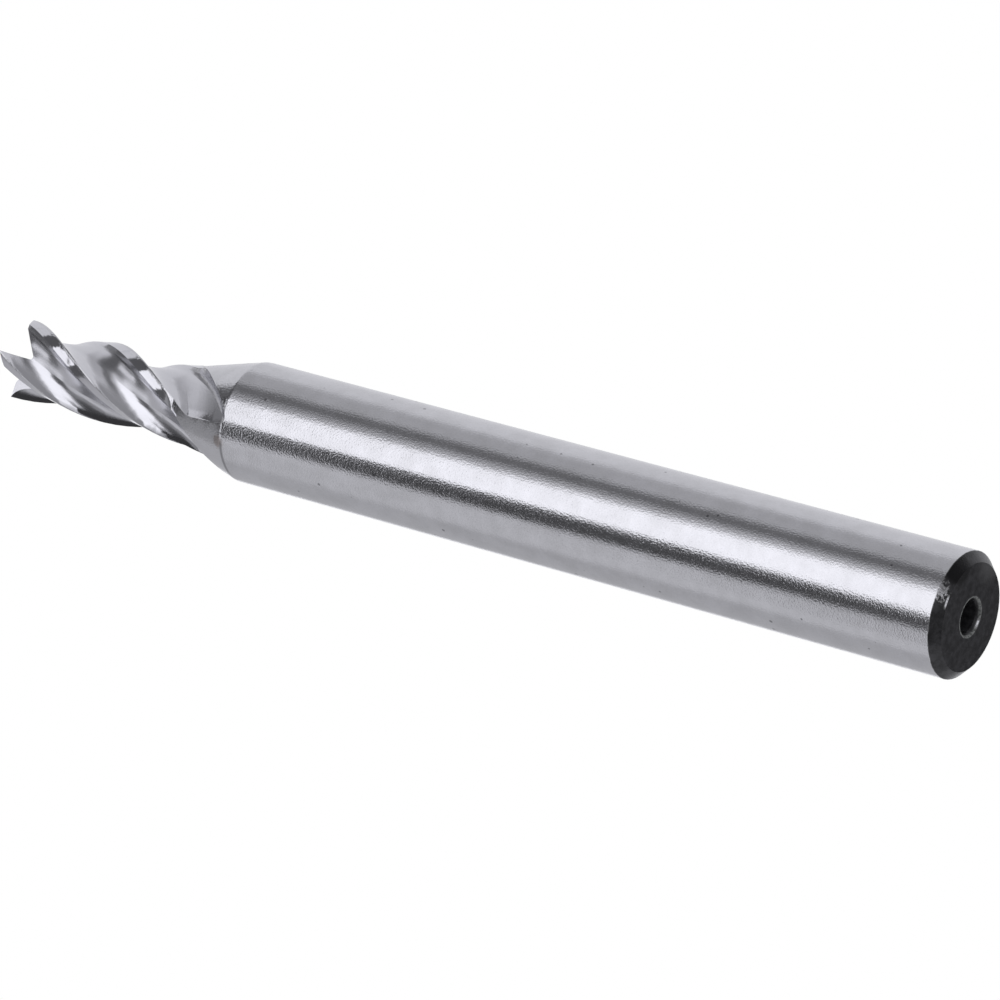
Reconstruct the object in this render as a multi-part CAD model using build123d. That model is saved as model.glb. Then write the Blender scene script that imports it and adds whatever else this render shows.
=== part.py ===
from build123d import *

import os
from math import asin, cos, degrees, pi, radians, sin, sqrt, tan

# Four-flute end mill with a cutting end thinner than its plain round shank.
# The tool stands on the end of its shank. Its frame has the origin in the middle of that end and +Z along
# the axis to the cutting end. Lengths are in millimetres, angles in degrees. The helix is right-hand, and so
# is the cut: seen from the cutting end, the tool turns anticlockwise.

# Blank, the round rod that the tool is ground from
overall_length = 55.0
shank_diameter = 6.0
cutting_diameter = 4.0
cutting_length = 11.0
neck_cone_angle = 15.0
neck_shoulder_radius = 0.8
shank_chamfer = 0.45
centre_hole_diameter = 1.6
centre_hole_depth = 2.2
centre_hole_point_angle = 118.0
centre_countersink_diameter = 1.85
centre_countersink_angle = 60.0

# Teeth and flutes in a section square to the axis, with angles counted from a tooth's cutting edge
tooth_count = 4
helix_angle = 30.0
core_diameter = 2.54
rake_angle = -11.0
floor_square_angle = 30.0
back_angle = 66.5
back_lean = 40.0
rake_root_radius = 1.3
back_root_radius = 0.45
margin_width = 0.06
land_clearance = 18.0

# Run-outs, where the grinding wheel leaves the flutes and the lands
full_flute_over_neck = 0.2
flute_overrun = 0.27
floor_turn = 42.0
rake_turn = 19.0
turn_lead_in = 0.95
turn_length = 5.0
full_land_over_neck = 0.8
land_runout_length = 1.2

# End teeth
end_clearance = 23.5
end_dish = 2.0
end_tooth_reach = 1.0
gash_depth = 0.87
gash_slope = 32.6
gash_angle = 60.0
gash_root_radius = 0.15
gash_past_centre = 0.03

# How far the cuts reach past what they cut, and the spacing of their sections
past_end = 1.5
past_runout = 0.3
past_shank = 6.0
past_land_angle = 7.5
past_end_edge = 0.3
section_step = 0.5

shank_radius = shank_diameter / 2
cutting_radius = cutting_diameter / 2
core_radius = core_diameter / 2
pitch_angle = 360 / tooth_count
lead = pi * cutting_diameter / tan(radians(helix_angle))

neck_top = overall_length - cutting_length
neck_bottom = neck_top - (shank_radius - cutting_radius) / tan(radians(neck_cone_angle))

rake_face_height = cutting_radius * cos(radians(floor_square_angle)) - core_radius
rake_face_length = rake_face_height / cos(radians(floor_square_angle - rake_angle))
rake_root_turn = 90 - floor_square_angle + rake_angle
widest_rake_root = rake_face_length / tan(radians(rake_root_turn / 2))
floor_corner_radius = core_radius / cos(radians(back_angle - floor_square_angle))
flute_runout_top = neck_top + full_flute_over_neck
flute_runout_length = flute_runout_top - neck_bottom + flute_overrun
flute_runout_rise = shank_radius - floor_corner_radius
turn_top = flute_runout_top + turn_lead_in

lean_at_heel = degrees(asin(floor_corner_radius * sin(radians(back_lean)) / cutting_radius))
heel_angle = back_angle + back_lean - lean_at_heel
land_width = cutting_radius * radians(pitch_angle - heel_angle) - margin_width
land_drop = land_width * tan(radians(land_clearance))
land_runout_top = neck_top + full_land_over_neck
land_runout_bottom = land_runout_top - land_runout_length
land_runout_rise = land_drop + (neck_top - land_runout_bottom) * tan(radians(neck_cone_angle))

end_edge_angle = degrees(asin(gash_past_centre / cutting_radius))


def turned_by(z):
    """Angle of the first tooth's cutting edge at a height."""
    return (z - overall_length) * 360 / lead


def polar(radius, angle):
    return Vector(radius * cos(radians(angle)), radius * sin(radians(angle)))


def wheel_lift(distance, length, rise):
    """How far a wheel that leaves along an arc has risen, at a distance into a run-out."""
    if distance <= 0:
        return 0.0
    arc_radius = (length**2 + rise**2) / (2 * rise)
    return arc_radius - sqrt(arc_radius**2 - distance**2)


def heights(top, bottom):
    """Section heights from top down to bottom, evenly spaced."""
    count = int((top - bottom) / section_step) + 1
    return [top + (bottom - top) * i / count for i in range(count + 1)]


def lofted_cut(section, top, bottom):
    """Solid through the sections of one cut, each turned with the helix."""
    wires = []
    for z in heights(top, bottom):
        wires.append(section(z).moved(Location((0, 0, z), (0, 0, turned_by(z)))))
    return Solid.make_loft(wires)


def around(cut):
    """The same cut at every tooth."""
    return [Rot(0, 0, pitch_angle * i) * cut for i in range(tooth_count)]


def blank():
    """Shank with its chamfer, neck cone and cutting end, turned in one piece, with the centre hole."""
    hole_radius = centre_hole_diameter / 2
    countersink_radius = centre_countersink_diameter / 2
    countersink_depth = (countersink_radius - hole_radius) / tan(radians(centre_countersink_angle / 2))
    point_length = hole_radius / tan(radians(centre_hole_point_angle / 2))
    outline = Polyline(
        (countersink_radius, 0, 0),
        (shank_radius - shank_chamfer, 0, 0),
        (shank_radius, 0, shank_chamfer),
        (shank_radius, 0, neck_bottom),
        (cutting_radius, 0, neck_top),
        (cutting_radius, 0, overall_length),
        (0, 0, overall_length),
        (0, 0, centre_hole_depth + point_length),
        (hole_radius, 0, centre_hole_depth),
        (hole_radius, 0, countersink_depth),
        close=True,
    )
    half_section = make_face(outline)
    shoulder = half_section.vertices().sort_by_distance((shank_radius, 0, neck_bottom))[0]
    return revolve(fillet(shoulder, neck_shoulder_radius), Axis.Z)


def flute_section(z):
    """Flute at a height: a rake face that sweeps into a straight floor, then the next tooth's back."""
    open_radius = shank_radius + past_shank
    lift = wheel_lift(flute_runout_top - z, flute_runout_length, flute_runout_rise)
    way_down = min(max((turn_top - z) / turn_length, 0), 1)
    turned = sin(radians(90 * way_down)) ** 2

    rake_direction = polar(1, rake_angle + rake_turn * turned)
    floor_direction = polar(1, floor_square_angle + 90 + floor_turn * turned)
    back_corner = polar(floor_corner_radius + lift, back_angle)
    edge = polar(cutting_radius, 0)
    across = back_corner - edge
    reach = across.cross(floor_direction).Z / rake_direction.cross(floor_direction).Z
    rake_corner = edge + rake_direction * reach

    rake_end = edge + rake_direction * (open_radius - cutting_radius)
    back_end = back_corner + polar(open_radius, back_angle + back_lean * (1 - turned) ** 2)
    profile = FilletPolyline(
        rake_end,
        rake_corner,
        back_corner,
        back_end,
        radius=[min(rake_root_radius, widest_rake_root), back_root_radius],
    )
    return Wire([*profile.edges(), Edge.make_line(back_end, rake_end)])


def land_section(z):
    """Relief of one land at a height: an arc that leaves the round behind a narrow margin."""
    lift = wheel_lift(land_runout_top - z, land_runout_length, land_runout_rise)
    margin_angle = degrees(margin_width / cutting_radius)
    margin_end = polar(cutting_radius + lift, -margin_angle)
    arc_centre = margin_end - polar(cutting_radius, -margin_angle - land_clearance)

    def on_arc(angle):
        return arc_centre + polar(cutting_radius, angle - margin_angle - land_clearance)

    ahead = on_arc(past_land_angle)
    middle = on_arc(-past_land_angle)
    behind = on_arc(back_angle - pitch_angle - past_land_angle)
    relief = Edge.make_three_point_arc(ahead, middle, behind)
    outwards = polar(past_end, -margin_angle)
    closing = Polyline(behind, behind + outwards, ahead + outwards, ahead)
    return Wire([relief, *closing.edges()])


def gash_cut():
    """Notch ahead of the end edge: a square front wall and a sloping back wall that falls to the flute."""
    reach = cutting_diameter + past_end
    rise = reach / tan(radians(gash_angle))
    down_the_notch = Vector(cos(radians(gash_slope)), 0, -sin(radians(gash_slope)))
    across = Plane(
        origin=(0, -gash_past_centre, overall_length - gash_depth),
        x_dir=(0, 1, 0),
        z_dir=down_the_notch,
    )
    outline = Polyline((0, reach), (0, 0), (reach, rise), (reach, reach), close=True)
    root = make_face(outline).vertices().sort_by_distance((0, 0))[0]
    profile = fillet(root, gash_root_radius)
    notch = extrude(across * Pos(0, 0, -past_end) * profile, reach + past_end)
    return Rot(0, 0, end_edge_angle) * notch


def end_clearance_cut():
    """What is ground off behind one end edge, with the edge itself dished towards the axis."""
    inwards = Vector(-cos(radians(end_dish)), 0, -sin(radians(end_dish)))
    backwards = Vector(0, -cos(radians(end_clearance)), -sin(radians(end_clearance)))
    face = Plane(
        origin=(cutting_radius, 0, overall_length),
        x_dir=inwards,
        z_dir=inwards.cross(backwards),
    )
    block = Box(
        end_tooth_reach + past_end,
        cutting_diameter,
        cutting_diameter,
        align=(Align.MAX, Align.MIN, Align.MIN),
    )
    return face * Pos(end_tooth_reach, -past_end_edge, 0) * block


def end_mill():
    flute_runout_bottom = flute_runout_top - flute_runout_length - past_runout
    cuts = around(lofted_cut(flute_section, overall_length + past_end, flute_runout_bottom))
    cuts += around(lofted_cut(land_section, overall_length + past_end, land_runout_bottom))
    cuts += around(gash_cut())
    cuts += around(end_clearance_cut())
    return blank() - cuts


os.makedirs("parts", exist_ok=True)
export_step(end_mill(), "parts/end_mill.step")
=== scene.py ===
from math import pi, radians, tan

import bmesh
import bpy
from mathutils import Matrix, Vector


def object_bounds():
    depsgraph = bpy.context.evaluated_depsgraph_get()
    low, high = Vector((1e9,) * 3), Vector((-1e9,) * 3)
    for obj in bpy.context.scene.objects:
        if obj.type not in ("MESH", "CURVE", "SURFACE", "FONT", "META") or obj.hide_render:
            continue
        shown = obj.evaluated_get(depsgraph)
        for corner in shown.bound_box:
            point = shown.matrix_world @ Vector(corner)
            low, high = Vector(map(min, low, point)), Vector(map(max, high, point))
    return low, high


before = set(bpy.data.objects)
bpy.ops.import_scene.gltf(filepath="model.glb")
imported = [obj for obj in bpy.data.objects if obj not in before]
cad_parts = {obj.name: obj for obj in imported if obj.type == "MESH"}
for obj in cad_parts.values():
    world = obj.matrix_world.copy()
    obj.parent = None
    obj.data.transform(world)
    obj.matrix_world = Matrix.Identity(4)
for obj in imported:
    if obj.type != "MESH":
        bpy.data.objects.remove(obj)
cad_low, cad_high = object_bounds()
MM = 0.001

# Camera, where the photograph was taken from: low, beyond the shank end, looking up along the tool.
# It is rolled so that the cutting end points to the left of the picture.
camera_place = Vector((226.86, -11.49, -116.19)) * MM
camera_right = Vector((-0.49739, 0.28893, -0.81800))
camera_forward = Vector((-0.84722, 0.04101, 0.52965))
camera_sensor = 36
camera_lens = 203.95
nearest_seen, farthest_seen = 0.01, 10

camera_data = bpy.data.cameras.new("camera")
camera_data.sensor_width = camera_sensor
camera_data.lens = camera_lens
camera_data.clip_start, camera_data.clip_end = nearest_seen, farthest_seen
camera = bpy.data.objects.new("camera", camera_data)
camera_up = camera_right.cross(camera_forward)
turn = Matrix((camera_right, camera_up, -camera_forward)).transposed()
camera.matrix_world = Matrix.Translation(camera_place) @ turn.to_4x4()
bpy.context.scene.collection.objects.link(camera)
bpy.context.scene.camera = camera

# White background and soft light from all round. Rays that the camera or the polished steel sends out
# meet plain white, and what lights matt surfaces is about half as strong.
white_strength = 1.0
lighting_strength = 0.55

world = bpy.data.worlds.new("white studio")
bpy.context.scene.world = world
world.use_nodes = True
nodes, links = world.node_tree.nodes, world.node_tree.links
nodes.clear()
path = nodes.new("ShaderNodeLightPath")
seen = nodes.new("ShaderNodeMath")
seen.operation = "MAXIMUM"
links.new(path.outputs["Is Camera Ray"], seen.inputs[0])
links.new(path.outputs["Is Glossy Ray"], seen.inputs[1])
seen_or_through = nodes.new("ShaderNodeMath")
seen_or_through.operation = "MAXIMUM"
links.new(seen.outputs[0], seen_or_through.inputs[0])
links.new(path.outputs["Is Transmission Ray"], seen_or_through.inputs[1])
lighting = nodes.new("ShaderNodeBackground")
lighting.inputs["Color"].default_value = (1, 1, 1, 1)
lighting.inputs["Strength"].default_value = lighting_strength
white = nodes.new("ShaderNodeBackground")
white.inputs["Color"].default_value = (1, 1, 1, 1)
white.inputs["Strength"].default_value = white_strength
choose = nodes.new("ShaderNodeMixShader")
links.new(seen_or_through.outputs[0], choose.inputs["Fac"])
links.new(lighting.outputs[0], choose.inputs[1])
links.new(white.outputs[0], choose.inputs[2])
output = nodes.new("ShaderNodeOutputWorld")
links.new(choose.outputs[0], output.inputs["Surface"])

# Floor, a pale table top that can be looked through from beneath, where the photograph looks from.
# The tool's shadow falls on it. It casts none itself and the tool doesn't see it, so that light from
# below reaches the shank's end.
floor_half = 3.0
floor_tone = 0.82
floor_gap = 0.02 * MM

floor_mesh = bpy.data.meshes.new("floor")
bm = bmesh.new()
bmesh.ops.create_grid(bm, x_segments=1, y_segments=1, size=floor_half)
bmesh.ops.translate(bm, verts=bm.verts, vec=(0, 0, -floor_gap))
bm.to_mesh(floor_mesh)
bm.free()
floor = bpy.data.objects.new("floor", floor_mesh)
bpy.context.scene.collection.objects.link(floor)
floor.visible_shadow = False
floor.visible_diffuse = False
floor.visible_glossy = False

table_top = bpy.data.materials.new("pale table top")
table_top.use_nodes = True
nodes, links = table_top.node_tree.nodes, table_top.node_tree.links
nodes.clear()
geometry = nodes.new("ShaderNodeNewGeometry")
matt = nodes.new("ShaderNodeBsdfDiffuse")
matt.inputs["Color"].default_value = (floor_tone, floor_tone, floor_tone, 1)
clear = nodes.new("ShaderNodeBsdfTransparent")
one_sided = nodes.new("ShaderNodeMixShader")
links.new(geometry.outputs["Backfacing"], one_sided.inputs["Fac"])
links.new(matt.outputs[0], one_sided.inputs[1])
links.new(clear.outputs[0], one_sided.inputs[2])
output = nodes.new("ShaderNodeOutputMaterial")
links.new(one_sided.outputs[0], output.inputs["Surface"])
floor_mesh.materials.append(table_top)

# Studio cards that only the steel sees: grey screens all round, black flags, and windows of white light.
# Each is a curved sheet round the tool, with its stretch of azimuth and of elevation, its tone, and how
# wide its border fades. The angles are in degrees. Each card stands a little in front of the one before.
card_distance = 1.2
card_gap = 0.015
card_tint = (1.0, 1.0, 1.05)
fewest_facets = 3
cards = (
    ("backdrop", (-56, 84), (-80, 66), 0.33, 6),
    ("grey screen left", (-176, -42), (-80, 64), 0.52, 6),
    ("grey screen right", (64, 170), (-80, 72), 0.78, 6),
    ("left glow", (-100, -46), (10, 42), 0.68, 8),
    ("soft screen", (54, 104), (8, 52), 0.50, 12),
    ("ceiling", (-110, 66), (58, 92), 0.14, 6),
    ("far ceiling", (50, 100), (60, 84), 0.24, 6),
    ("back ceiling", (96, 220), (66, 92), 0.45, 6),
    ("dark ceiling", (-36, 50), (59, 78), 0.05, 4),
    ("shoulder screen", (-96, -46), (54, 69), 0.37, 5),
    ("dim screen", (-78, -22), (4, 28), 0.28, 6),
    ("dark side", (30, 63), (8, 44), 0.18, 6),
    ("dim side", (38, 104), (-14, 12), 0.36, 6),
    ("high flag", (4, 76), (40, 53), 0.11, 4),
    ("upper flag", (24, 72), (44, 66), 0.12, 4),
    ("left upper flag", (-58, -16), (50, 64), 0.12, 5),
    ("window glow", (14, 44), (-14, 42), 0.60, 10),
    ("window", (-30, 29), (-17, 45), 1.42, 6),
    ("black cloth", (-92, -22), (-66, 8), 0.05, 6),
    ("black corner", (-60, -30), (2, 15), 0.07, 6),
    ("black edge", (-36, -3), (-66, -1), 0.05, 6),
    ("slit foot", (-8, 34), (47, 57), 0.06, 3),
    ("streak", (-62, 4), (39, 51), 1.05, 4),
    ("slit", (-26, 30), (53, 61), 1.35, 2),
    ("small flag", (-47, -17), (22, 42), 0.08, 3),
    ("low window", (4, 36), (-80, -22), 0.9, 6),
    ("side window", (-118, -88), (-80, -22), 1.1, 6),
    ("far side flag", (56, 116), (-80, -18), 0.07, 6),
    ("far side window", (118, 146), (-80, -22), 1.2, 6),
    ("back flag", (150, 192), (-80, 8), 0.10, 6),
    ("back window", (184, 198), (-80, 66), 1.1, 6),
)

for row, (name, azimuths, elevations, tone, fade) in enumerate(cards):
    start = Matrix.Rotation(radians(azimuths[0]), 3, "Z")
    lifted = start @ Matrix.Rotation(radians(-elevations[0]), 3, "Y")
    distance = card_distance - row * card_gap
    bm = bmesh.new()
    edge = bmesh.ops.create_vert(bm, co=lifted @ Vector((distance, 0, 0)))["vert"]
    for axis, (low, high) in ((start @ Vector((0, -1, 0)), elevations), (Vector((0, 0, 1)), azimuths)):
        facets = max(fewest_facets, round((high - low) / fade))
        bmesh.ops.spin(bm, geom=edge, axis=axis, angle=radians(high - low), steps=facets)
        edge = bm.verts[:] + bm.edges[:]
    cover = bm.verts.layers.float.new("cover")
    for vert in bm.verts:
        vert[cover] = 0.0 if vert.is_boundary else 1.0
    mesh = bpy.data.meshes.new(name)
    bm.to_mesh(mesh)
    bm.free()
    sheet = bpy.data.objects.new(name, mesh)
    bpy.context.scene.collection.objects.link(sheet)
    sheet.visible_camera = sheet.visible_diffuse = sheet.visible_shadow = False
    cloth = bpy.data.materials.new(name)
    cloth.use_nodes = True
    nodes, links = cloth.node_tree.nodes, cloth.node_tree.links
    nodes.clear()
    covered = nodes.new("ShaderNodeAttribute")
    covered.attribute_name = "cover"
    clear = nodes.new("ShaderNodeBsdfTransparent")
    glow = nodes.new("ShaderNodeEmission")
    glow.inputs["Color"].default_value = (*(tone * tint for tint in card_tint), 1)
    fading = nodes.new("ShaderNodeMixShader")
    links.new(covered.outputs["Fac"], fading.inputs["Fac"])
    links.new(clear.outputs[0], fading.inputs[1])
    links.new(glow.outputs[0], fading.inputs[2])
    output = nodes.new("ShaderNodeOutputMaterial")
    links.new(fading.outputs[0], output.inputs["Surface"])
    mesh.materials.append(cloth)

# The end mill, one rod of high-speed steel. Its shank and neck are ground round and have a fine, even grain.
# The flutes are ground along the helix and polished. Black scale from the hardening is left on the shank's
# end and its chamfer, worn through in places.
cutting_radius = 2.0 * MM
cutting_length = 11.0 * MM
helix_angle = 30
neck_cone_angle = 15
chamfer = 0.45 * MM
hole_radius = 0.925 * MM

shank_radius = cad_high[0]
neck_top = cad_high[2] - cutting_length
neck_bottom = neck_top - (shank_radius - cutting_radius) / tan(radians(neck_cone_angle))
lead = 2 * pi * cutting_radius / tan(radians(helix_angle))

steel = bpy.data.materials.new("ground steel")
steel.use_nodes = True
tree = steel.node_tree
shader = tree.nodes["Principled BSDF"]


def wire(tree, sources, sockets):
    for source, socket in zip(sources, sockets):
        if isinstance(source, bpy.types.NodeSocket):
            tree.links.new(source, socket)
        else:
            socket.default_value = source


def number(tree, operation, *sources):
    node = tree.nodes.new("ShaderNodeMath")
    node.operation = operation
    wire(tree, sources, node.inputs)
    return node.outputs[0]


def vector(tree, operation, *sources):
    node = tree.nodes.new("ShaderNodeVectorMath")
    node.operation = operation
    wire(tree, sources, node.inputs)
    return node.outputs["Value" if operation in ("LENGTH", "DISTANCE") else "Vector"]


def ramp(tree, value, low, high, start=0.0, end=1.0, shape="SMOOTHSTEP"):
    """Turn a value between low and high into one between start and end, flat beyond them."""
    node = tree.nodes.new("ShaderNodeMapRange")
    node.interpolation_type = shape
    wire(tree, (value, low, high, start, end), node.inputs)
    return node.outputs[0]


def blend_numbers(tree, share, first, second):
    return ramp(tree, share, 0.0, 1.0, first, second, "LINEAR")


def blend_colours(tree, share, first, second):
    node = tree.nodes.new("ShaderNodeMix")
    node.data_type = "RGBA"
    wire(tree, (share,), (node.inputs["Factor"],))
    wire(tree, (first, second), node.inputs[6:8])
    return node.outputs[2]


def noise(tree, place, scale, detail, roughness):
    node = tree.nodes.new("ShaderNodeTexNoise")
    node.inputs["Scale"].default_value = scale
    node.inputs["Detail"].default_value = detail
    node.inputs["Roughness"].default_value = roughness
    tree.links.new(place, node.inputs["Vector"])
    return node.outputs["Fac"]


def overlap(tree, first, second):
    return number(tree, "MULTIPLY", first, second)


def outside(tree, mask):
    return number(tree, "SUBTRACT", 1.0, mask)


def near(tree, place, middle, reach, strength=1.0):
    """Mask round a point, whole up to the first distance of its reach and gone at the second."""
    return ramp(tree, vector(tree, "DISTANCE", place, middle), *reach, strength, 0.0)


# Marks that a grinding wheel leaves: a fine grain for the height and broader, softer changes of tone
cloud_scale = 0.08
marks = bpy.data.node_groups.new("grinding marks", "ShaderNodeTree")
for socket in ("Place", "Grain"):
    marks.interface.new_socket(socket, in_out="INPUT", socket_type="NodeSocketVector")
for socket in ("Height", "Tone"):
    marks.interface.new_socket(socket, in_out="OUTPUT", socket_type="NodeSocketFloat")
entry = marks.nodes.new("NodeGroupInput")
leave = marks.nodes.new("NodeGroupOutput")
grained = vector(marks, "DIVIDE", entry.outputs["Place"], entry.outputs["Grain"])
marks.links.new(noise(marks, grained, 1.0, detail=2.0, roughness=0.5), leave.inputs["Height"])
marks.links.new(noise(marks, grained, cloud_scale, detail=3.0, roughness=0.6), leave.inputs["Tone"])


def grinding(place, grain):
    node = tree.nodes.new("ShaderNodeGroup")
    node.node_tree = marks
    tree.links.new(place, node.inputs["Place"])
    node.inputs["Grain"].default_value = Vector(grain) * MM
    return node.outputs["Height"], node.outputs["Tone"]


place = tree.nodes.new("ShaderNodeTexCoord").outputs["Object"]
parts = tree.nodes.new("ShaderNodeSeparateXYZ")
tree.links.new(place, parts.inputs[0])
height = parts.outputs["Z"]
radius = vector(tree, "LENGTH", vector(tree, "MULTIPLY", place, (1, 1, 0)))

# What the flute wheel cut lies below the round blank, and the flutes' floors lie deepest
cut_depths = (0.015 * MM, 0.05 * MM)
deep_depths = (0.2 * MM, 0.34 * MM)
flute_heights = (39.0 * MM, 39.3 * MM)
blank = ramp(tree, height, neck_bottom, neck_top, shank_radius, cutting_radius, "LINEAR")
below_blank = number(tree, "SUBTRACT", blank, radius)
fluted = overlap(tree, ramp(tree, below_blank, *cut_depths), ramp(tree, height, *flute_heights))
deep = ramp(tree, below_blank, *deep_depths)

# Grain of the round surfaces, and grain that follows the helix in the flutes
round_grain = (0.085, 0.085, 0.085)
flute_grain = (0.07, 0.07, 2.5)
twisted = tree.nodes.new("ShaderNodeVectorRotate")
twisted.rotation_type = "Z_AXIS"
tree.links.new(place, twisted.inputs["Vector"])
tree.links.new(number(tree, "MULTIPLY", height, -2 * pi / lead), twisted.inputs["Angle"])
round_height, round_tone = grinding(place, round_grain)
flute_height, flute_tone = grinding(twisted.outputs[0], flute_grain)

# Small dark pits, scattered thinly over the round surfaces. Their sizes are in parts of their spacing.
pit_spacing = 0.7 * MM
pit_share = 0.6
largest_pit = 0.14
pit_fade = 0.03
cells = tree.nodes.new("ShaderNodeTexVoronoi")
cells.inputs["Scale"].default_value = 1 / pit_spacing
tree.links.new(place, cells.inputs["Vector"])
chosen = tree.nodes.new("ShaderNodeSeparateColor")
tree.links.new(cells.outputs["Color"], chosen.inputs[0])
pit_size = ramp(tree, chosen.outputs[0], 1 - pit_share, 1.0, 0.0, largest_pit, "LINEAR")
inside_pit = ramp(tree, number(tree, "SUBTRACT", pit_size, cells.outputs["Distance"]), 0.0, pit_fade)
pitted = overlap(tree, inside_pit, outside(tree, fluted))

# Steel's own colour and gloss. A span is the range of a noise's values that the tones are spread over.
ground_dark, ground_light = (0.585, 0.585, 0.6, 1), (0.645, 0.645, 0.665, 1)
flute_dark, flute_light = (0.56, 0.56, 0.585, 1), (0.7, 0.7, 0.725, 1)
pit_colour = (0.28, 0.28, 0.29, 1)
cloud_span = (0.35, 0.65)
fine_span = (0.3, 0.7)
grit_darkest = 0.94
round_roughness = 0.1
land_roughness = 0.08
flute_floor_roughness = 0.2
clouds = ramp(tree, round_tone, *cloud_span, shape="LINEAR")
grit = ramp(tree, round_height, *fine_span, grit_darkest, 1.0, "LINEAR")
ground_colour = vector(tree, "MULTIPLY", blend_colours(tree, clouds, ground_dark, ground_light), grit)
flute_colour = blend_colours(tree, flute_tone, flute_dark, flute_light)
steel_colour = blend_colours(tree, fluted, ground_colour, flute_colour)
steel_colour = blend_colours(tree, pitted, steel_colour, pit_colour)
flute_gloss = blend_numbers(tree, deep, land_roughness, flute_floor_roughness)
steel_gloss = blend_numbers(tree, fluted, round_roughness, flute_gloss)

# Brown stain at the shoulder of the neck, and a line of painted dark reflection that runs on from it along
# the shoulder
stain_middle = (2.55 * MM, -1.5 * MM, 40.45 * MM)
stain_size = 0.42 * MM
stain_edge = (1.0, 1.5)
stain_strength = 0.6
stain_colour = (0.30, 0.24, 0.21, 1)
shoulder_reflection_middle = (1.95 * MM, -2.2 * MM, 40.2 * MM)
shoulder_reflection_reach = (0.8 * MM, 1.3 * MM)
shoulder_reflection_widths = (0.03 * MM, 0.12 * MM)
shoulder_reflection_strength = 0.55
shoulder_reflection_colour = (0.10, 0.10, 0.10, 1)
blotch_size = 0.35 * MM
ragged = noise(tree, place, 1 / blotch_size, detail=3.0, roughness=0.6)
from_stain = number(tree, "DIVIDE", vector(tree, "DISTANCE", place, stain_middle), stain_size)
stained = ramp(tree, number(tree, "ADD", from_stain, ragged), *stain_edge, stain_strength, 0.0)
steel_colour = blend_colours(tree, stained, steel_colour, stain_colour)
# The dark line along the shoulder is painted dark reflection.
from_shoulder_reflection = number(tree, "ABSOLUTE", number(tree, "SUBTRACT", height, shoulder_reflection_middle[2]))
along_shoulder_reflection = ramp(tree, from_shoulder_reflection, *shoulder_reflection_widths, shoulder_reflection_strength, 0.0)
painted_shoulder_reflection = overlap(tree, along_shoulder_reflection, near(tree, place, shoulder_reflection_middle, shoulder_reflection_reach))
steel_colour = blend_colours(tree, painted_shoulder_reflection, steel_colour, shoulder_reflection_colour)

# Black scale on the end, with a ragged edge at the chamfer's outer corner. It is worn to bright specks at
# one place there. Bare steel is left at one place of the chamfer's inner edge and one of the hole's rim, for
# painted glints.
scale_edge = (chamfer - 0.03 * MM, chamfer + 0.01 * MM)
scale_raggedness = 0.012 * MM
worn_middle = (2.82 * MM, 0.66 * MM, 0.42 * MM)
worn_size = 0.5 * MM
worn_edge = (1.7, 2.5)
worn_strength = 0.95
speck_size = 0.13 * MM
speck_weight = 3.0
edge_glint_middle = (2.55 * MM, 0.25 * MM, 0.0)
edge_glint_reach = (0.15 * MM, 0.4 * MM)
edge_glint_foot = (0.0, 0.02 * MM)
edge_glint_top = (0.05 * MM, 0.09 * MM)
rim_glint_middle = (-0.91 * MM, -0.15 * MM, 0.03 * MM)
rim_glint_reach = (0.15 * MM, 0.3 * MM)
rim_glint_radii = (hole_radius + 0.01 * MM, hole_radius - 0.01 * MM)
rim_glint_top = (0.06 * MM, 0.1 * MM)
specks = noise(tree, place, 1 / speck_size, detail=2.0, roughness=0.6)
unevenness = ramp(tree, ragged, *fine_span, -scale_raggedness, scale_raggedness, "LINEAR")
on_end = ramp(tree, number(tree, "ADD", height, unevenness), *scale_edge, 1.0, 0.0)
from_worn = number(tree, "DIVIDE", vector(tree, "DISTANCE", place, worn_middle), worn_size)
speckled = number(tree, "ADD", from_worn, number(tree, "MULTIPLY", specks, speck_weight))
worn = ramp(tree, speckled, *worn_edge, worn_strength, 0.0)
# Painted glints: bare steel on a spot of the chamfer's inner edge and on one of the hole's rim.
on_edge = overlap(tree, ramp(tree, height, *edge_glint_foot), ramp(tree, height, *edge_glint_top, 1.0, 0.0))
edge_glint = overlap(tree, on_edge, near(tree, place, edge_glint_middle, edge_glint_reach))
on_rim = overlap(tree, ramp(tree, radius, *rim_glint_radii), ramp(tree, height, *rim_glint_top, 1.0, 0.0))
rim_glint = overlap(tree, on_rim, near(tree, place, rim_glint_middle, rim_glint_reach))
scaled = overlap(tree, on_end, outside(tree, number(tree, "MAXIMUM", worn, edge_glint)))

# The scale's tones: its own mottle, a patch of the chamfer painted blacker as painted shade, one on the far
# side painted grey as painted sheen, and the rim of the hole a broken grey ring. The scale lines the hole
# too.
scale_dark, scale_light = (0.016, 0.016, 0.018, 1), (0.042, 0.042, 0.047, 1)
mottle_span = (0.35, 0.7)
chamfer_shade_middle = (2.1 * MM, 1.9 * MM, 0.25 * MM)
chamfer_shade_reach = (0.65 * MM, 0.9 * MM)
chamfer_shade_strength = 0.95
chamfer_shade_colour = (0.006, 0.006, 0.007, 1)
sheen_middle = (-0.3 * MM, 2.8 * MM, 0.1 * MM)
sheen_reach = (0.3 * MM, 1.5 * MM)
sheen_strength = 0.8
sheen_colour = (0.10, 0.10, 0.105, 1)
ring_widths = (0.02 * MM, 0.09 * MM)
ring_strength = 0.9
ring_breaks = (0.35, 0.6)
ring_faintest = 0.3
ring_colour = (0.30, 0.31, 0.31, 1)
lined_radii = (hole_radius - 0.04 * MM, hole_radius - 0.1 * MM)
lined_heights = (3.0 * MM, 2.9 * MM)
scale_roughness = 0.3
scale_gloss = 0.3
scale_colour = blend_colours(tree, ramp(tree, ragged, *mottle_span), scale_dark, scale_light)
# A patch of painted shade on the chamfer.
painted_chamfer_shade = near(tree, place, chamfer_shade_middle, chamfer_shade_reach, chamfer_shade_strength)
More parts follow.
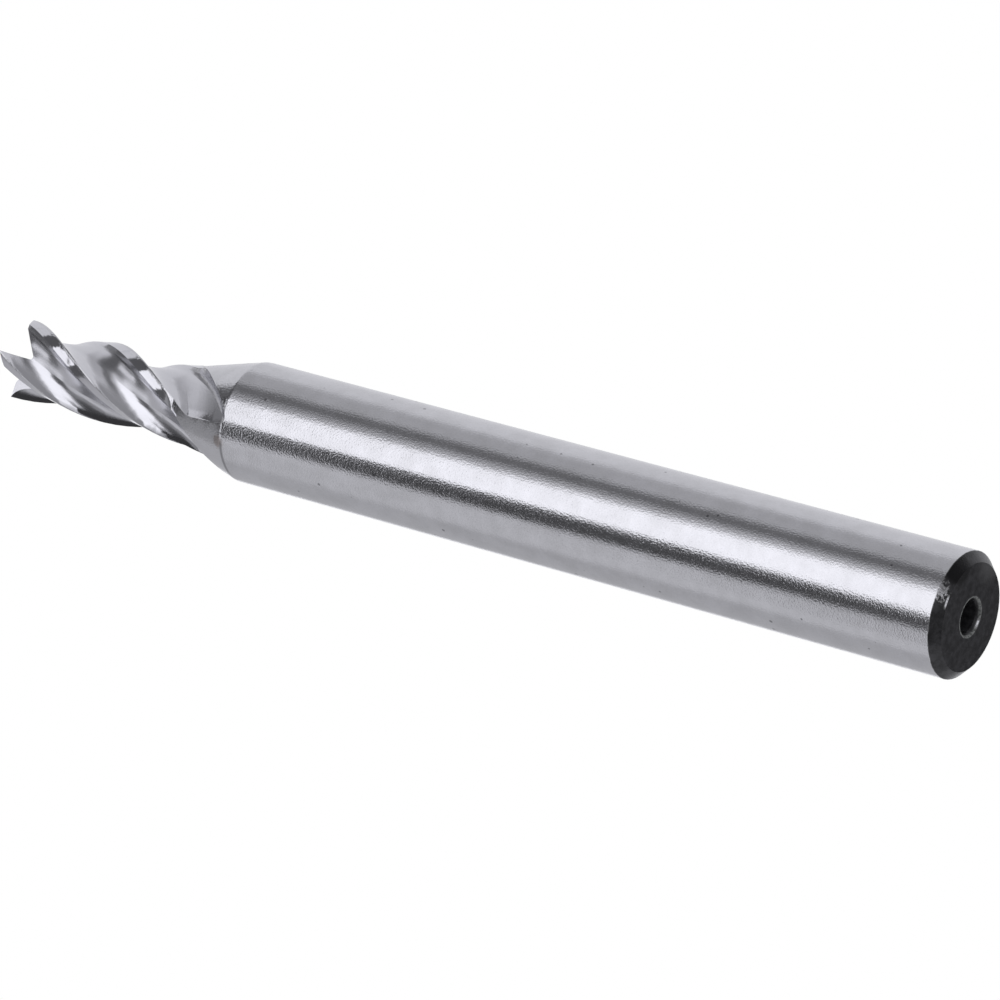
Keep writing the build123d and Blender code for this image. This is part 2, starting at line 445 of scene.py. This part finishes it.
scale_colour = blend_colours(tree, painted_chamfer_shade, scale_colour, chamfer_shade_colour)
# A paler patch on the far side of the end, painted sheen.
painted_sheen = near(tree, place, sheen_middle, sheen_reach, sheen_strength)
scale_colour = blend_colours(tree, painted_sheen, scale_colour, sheen_colour)
from_rim = number(tree, "ABSOLUTE", number(tree, "SUBTRACT", radius, hole_radius))
whole_ring = ramp(tree, from_rim, *ring_widths, ring_strength, 0.0)
ring = overlap(tree, whole_ring, ramp(tree, specks, *ring_breaks, ring_faintest, 1.0))
scale_colour = blend_colours(tree, ring, scale_colour, ring_colour)
in_hole = overlap(tree, ramp(tree, radius, *lined_radii), ramp(tree, height, *lined_heights))
black = overlap(tree, number(tree, "MAXIMUM", scaled, in_hole), outside(tree, rim_glint))

colour = blend_colours(tree, black, steel_colour, scale_colour)
tree.links.new(colour, shader.inputs["Base Color"])
tree.links.new(outside(tree, black), shader.inputs["Metallic"])
tree.links.new(blend_numbers(tree, black, steel_gloss, scale_roughness), shader.inputs["Roughness"])
shader.inputs["Specular IOR Level"].default_value = scale_gloss

# The grain as bumps, much lower in the polished flutes
bump_height = 0.009 * MM
flute_bump = 0.2
flute_uneven = number(tree, "MULTIPLY", flute_height, flute_bump)
bump = tree.nodes.new("ShaderNodeBump")
bump.inputs["Strength"].default_value = 1.0
bump.inputs["Distance"].default_value = bump_height
tree.links.new(blend_numbers(tree, fluted, round_height, flute_uneven), bump.inputs["Height"])
tree.links.new(bump.outputs[0], shader.inputs["Normal"])

end_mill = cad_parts["end_mill"]
end_mill.data.materials.clear()
end_mill.data.materials.append(steel)

# Key light, soft and from above, for the shadow on the floor. It is a sun, so only its direction counts,
# and the steel doesn't reflect it.
key_strength = 1.3
key_spread = 25
key_from = Vector((0.5, -0.6, 1.0))

key_data = bpy.data.lights.new("key", "SUN")
key_data.energy = key_strength
key_data.angle = radians(key_spread)
key = bpy.data.objects.new("key", key_data)
key.rotation_mode = "QUATERNION"
key.rotation_quaternion = (-key_from).to_track_quat("-Z", "Y")
key.visible_glossy = False
bpy.context.scene.collection.objects.link(key)

bpy.context.scene.view_settings.view_transform = "Standard"
